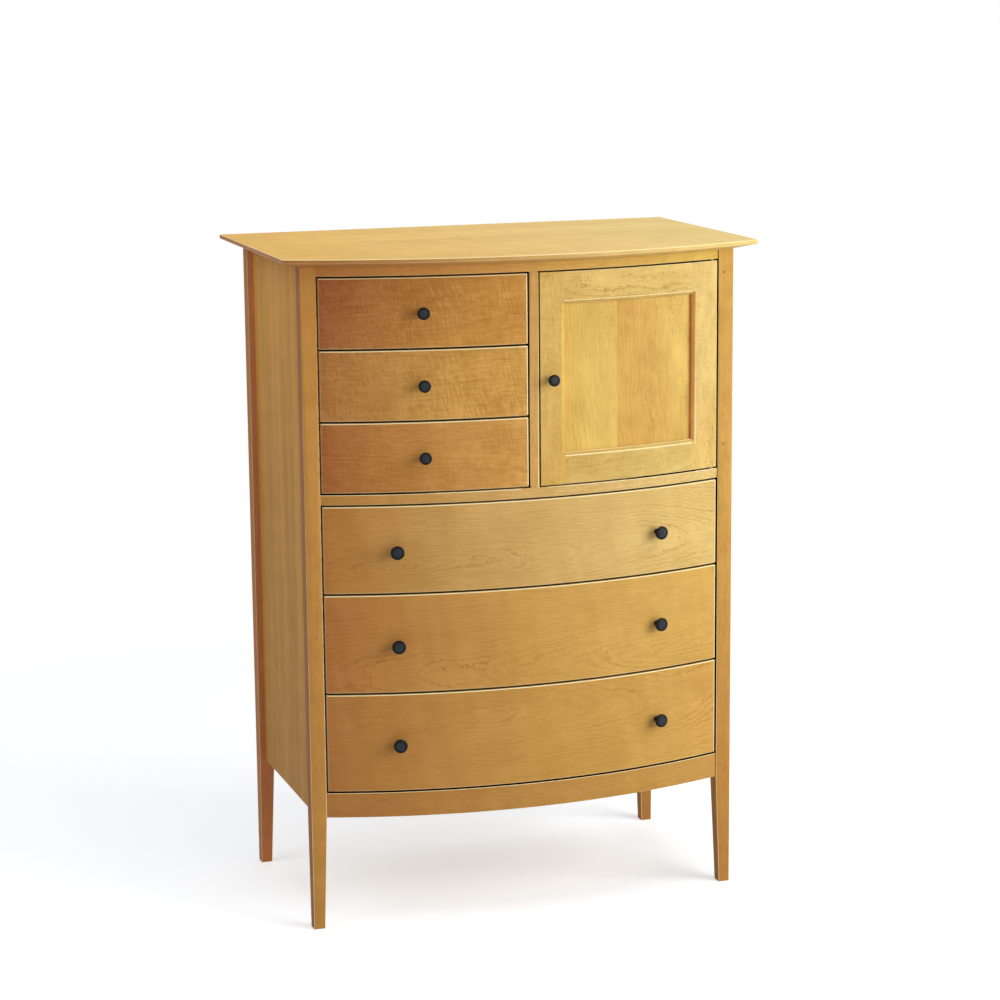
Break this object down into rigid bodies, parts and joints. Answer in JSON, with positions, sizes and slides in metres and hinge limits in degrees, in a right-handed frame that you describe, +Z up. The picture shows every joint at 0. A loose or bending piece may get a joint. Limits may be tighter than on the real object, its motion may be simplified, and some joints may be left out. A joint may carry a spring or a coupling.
{
  "type": "dresser",
  "caption": "Tall bow-fronted wooden dresser on tapered legs, with small drawers beside a panelled cupboard door over wide drawers, an overhanging bevelled top and dark turned knobs.",
  "frame": {"origin": "middle of the bounds in plan, on the floor", "axes": "+Z up, -Y towards the person who opens the drawers, +X to that person's right"},
  "size_m": [0.9594, 0.6311, 1.32],
  "materials": {
    "top_wood": "clear satin oil on pale maple-like wood",
    "post_wood": "clear satin oil",
    "side_wood": "clear satin oil",
    "rail_wood": "clear satin oil",
    "inner_wood": "clear oil",
    "back_wood": "clear oil",
    "runner_wood": "bare and waxed",
    "peg_wood": "clear satin oil",
    "small_front_wood": "clear satin oil on curly figured wood",
    "wide_front_wood": "clear satin oil on flat-sawn wood",
    "door_frame_wood": "clear satin oil on pale wood",
    "door_panel_wood": "clear satin oil on pale yellow wood",
    "drawer_box_wood": "bare and waxed",
    "drawer_bottom_wood": "bare",
    "black_knob": "turned wood blackened and polished",
    "brass": "satin",
    "steel": "plain"
  },
  "bodies": {
    "case": {"top": "top_wood", "post_front_left": "post_wood", "post_front_right": "post_wood", "post_rear_left": "post_wood", "post_rear_right": "post_wood", "side_panel_left": "side_wood", "side_panel_right": "side_wood", "top_rail": "rail_wood", "mid_rail": "rail_wood", "apron": "rail_wood", "divider": "rail_wood", "partition": "inner_wood", "deck": "inner_wood", "bottom_board": "inner_wood", "back_frame": "back_wood", "back_panels": "back_wood", "drawer_runners": "runner_wood", "shelf": "inner_wood", "shelf_pins": "brass", "pegs": "peg_wood", "top_screws": "steel", "hinge_case_leaves": "brass", "door_stop": "inner_wood"},
    "small_drawer_1": {"small_drawer_1_front": "small_front_wood", "small_drawer_1_sides": "drawer_box_wood", "small_drawer_1_back": "drawer_box_wood", "small_drawer_1_bottom": "drawer_bottom_wood", "small_drawer_1_knob": "black_knob"},
    "small_drawer_2": {"small_drawer_2_front": "small_front_wood", "small_drawer_2_sides": "drawer_box_wood", "small_drawer_2_back": "drawer_box_wood", "small_drawer_2_bottom": "drawer_bottom_wood", "small_drawer_2_knob": "black_knob"},
    "small_drawer_3": {"small_drawer_3_front": "small_front_wood", "small_drawer_3_sides": "drawer_box_wood", "small_drawer_3_back": "drawer_box_wood", "small_drawer_3_bottom": "drawer_bottom_wood", "small_drawer_3_knob": "black_knob"},
    "wide_drawer_1": {"wide_drawer_1_front": "wide_front_wood", "wide_drawer_1_sides": "drawer_box_wood", "wide_drawer_1_back": "drawer_box_wood", "wide_drawer_1_bottom": "drawer_bottom_wood", "wide_drawer_1_knobs": "black_knob"},
    "wide_drawer_2": {"wide_drawer_2_front": "wide_front_wood", "wide_drawer_2_sides": "drawer_box_wood", "wide_drawer_2_back": "drawer_box_wood", "wide_drawer_2_bottom": "drawer_bottom_wood", "wide_drawer_2_knobs": "black_knob"},
    "wide_drawer_3": {"wide_drawer_3_front": "wide_front_wood", "wide_drawer_3_sides": "drawer_box_wood", "wide_drawer_3_back": "drawer_box_wood", "wide_drawer_3_bottom": "drawer_bottom_wood", "wide_drawer_3_knobs": "black_knob"},
    "door": {"door_latch_stile": "door_frame_wood", "door_hinge_stile": "door_frame_wood", "door_rails": "door_frame_wood", "door_panel": "door_panel_wood", "door_knob": "black_knob", "door_hinge_leaves": "brass", "door_catch": "brass"}
  },
  "joints": [
    {"name": "small_drawer_1_slide", "type": "slide", "parent": "case", "child": "small_drawer_1", "axis": [0, -1, 0], "range_m": [0, 0.3]},
    {"name": "small_drawer_2_slide", "type": "slide", "parent": "case", "child": "small_drawer_2", "axis": [0, -1, 0], "range_m": [0, 0.3]},
    {"name": "small_drawer_3_slide", "type": "slide", "parent": "case", "child": "small_drawer_3", "axis": [0, -1, 0], "range_m": [0, 0.3]},
    {"name": "wide_drawer_1_slide", "type": "slide", "parent": "case", "child": "wide_drawer_1", "axis": [0, -1, 0], "range_m": [0, 0.3]},
    {"name": "wide_drawer_2_slide", "type": "slide", "parent": "case", "child": "wide_drawer_2", "axis": [0, -1, 0], "range_m": [0, 0.3]},
    {"name": "wide_drawer_3_slide", "type": "slide", "parent": "case", "child": "wide_drawer_3", "axis": [0, -1, 0], "range_m": [0, 0.3]},
    {"name": "door_hinge", "type": "hinge", "parent": "case", "child": "door", "pos_m": [0.39575, -0.17775, 1.0733], "axis": [0, 0, 1], "range_deg": [0, 100]}
  ]
}
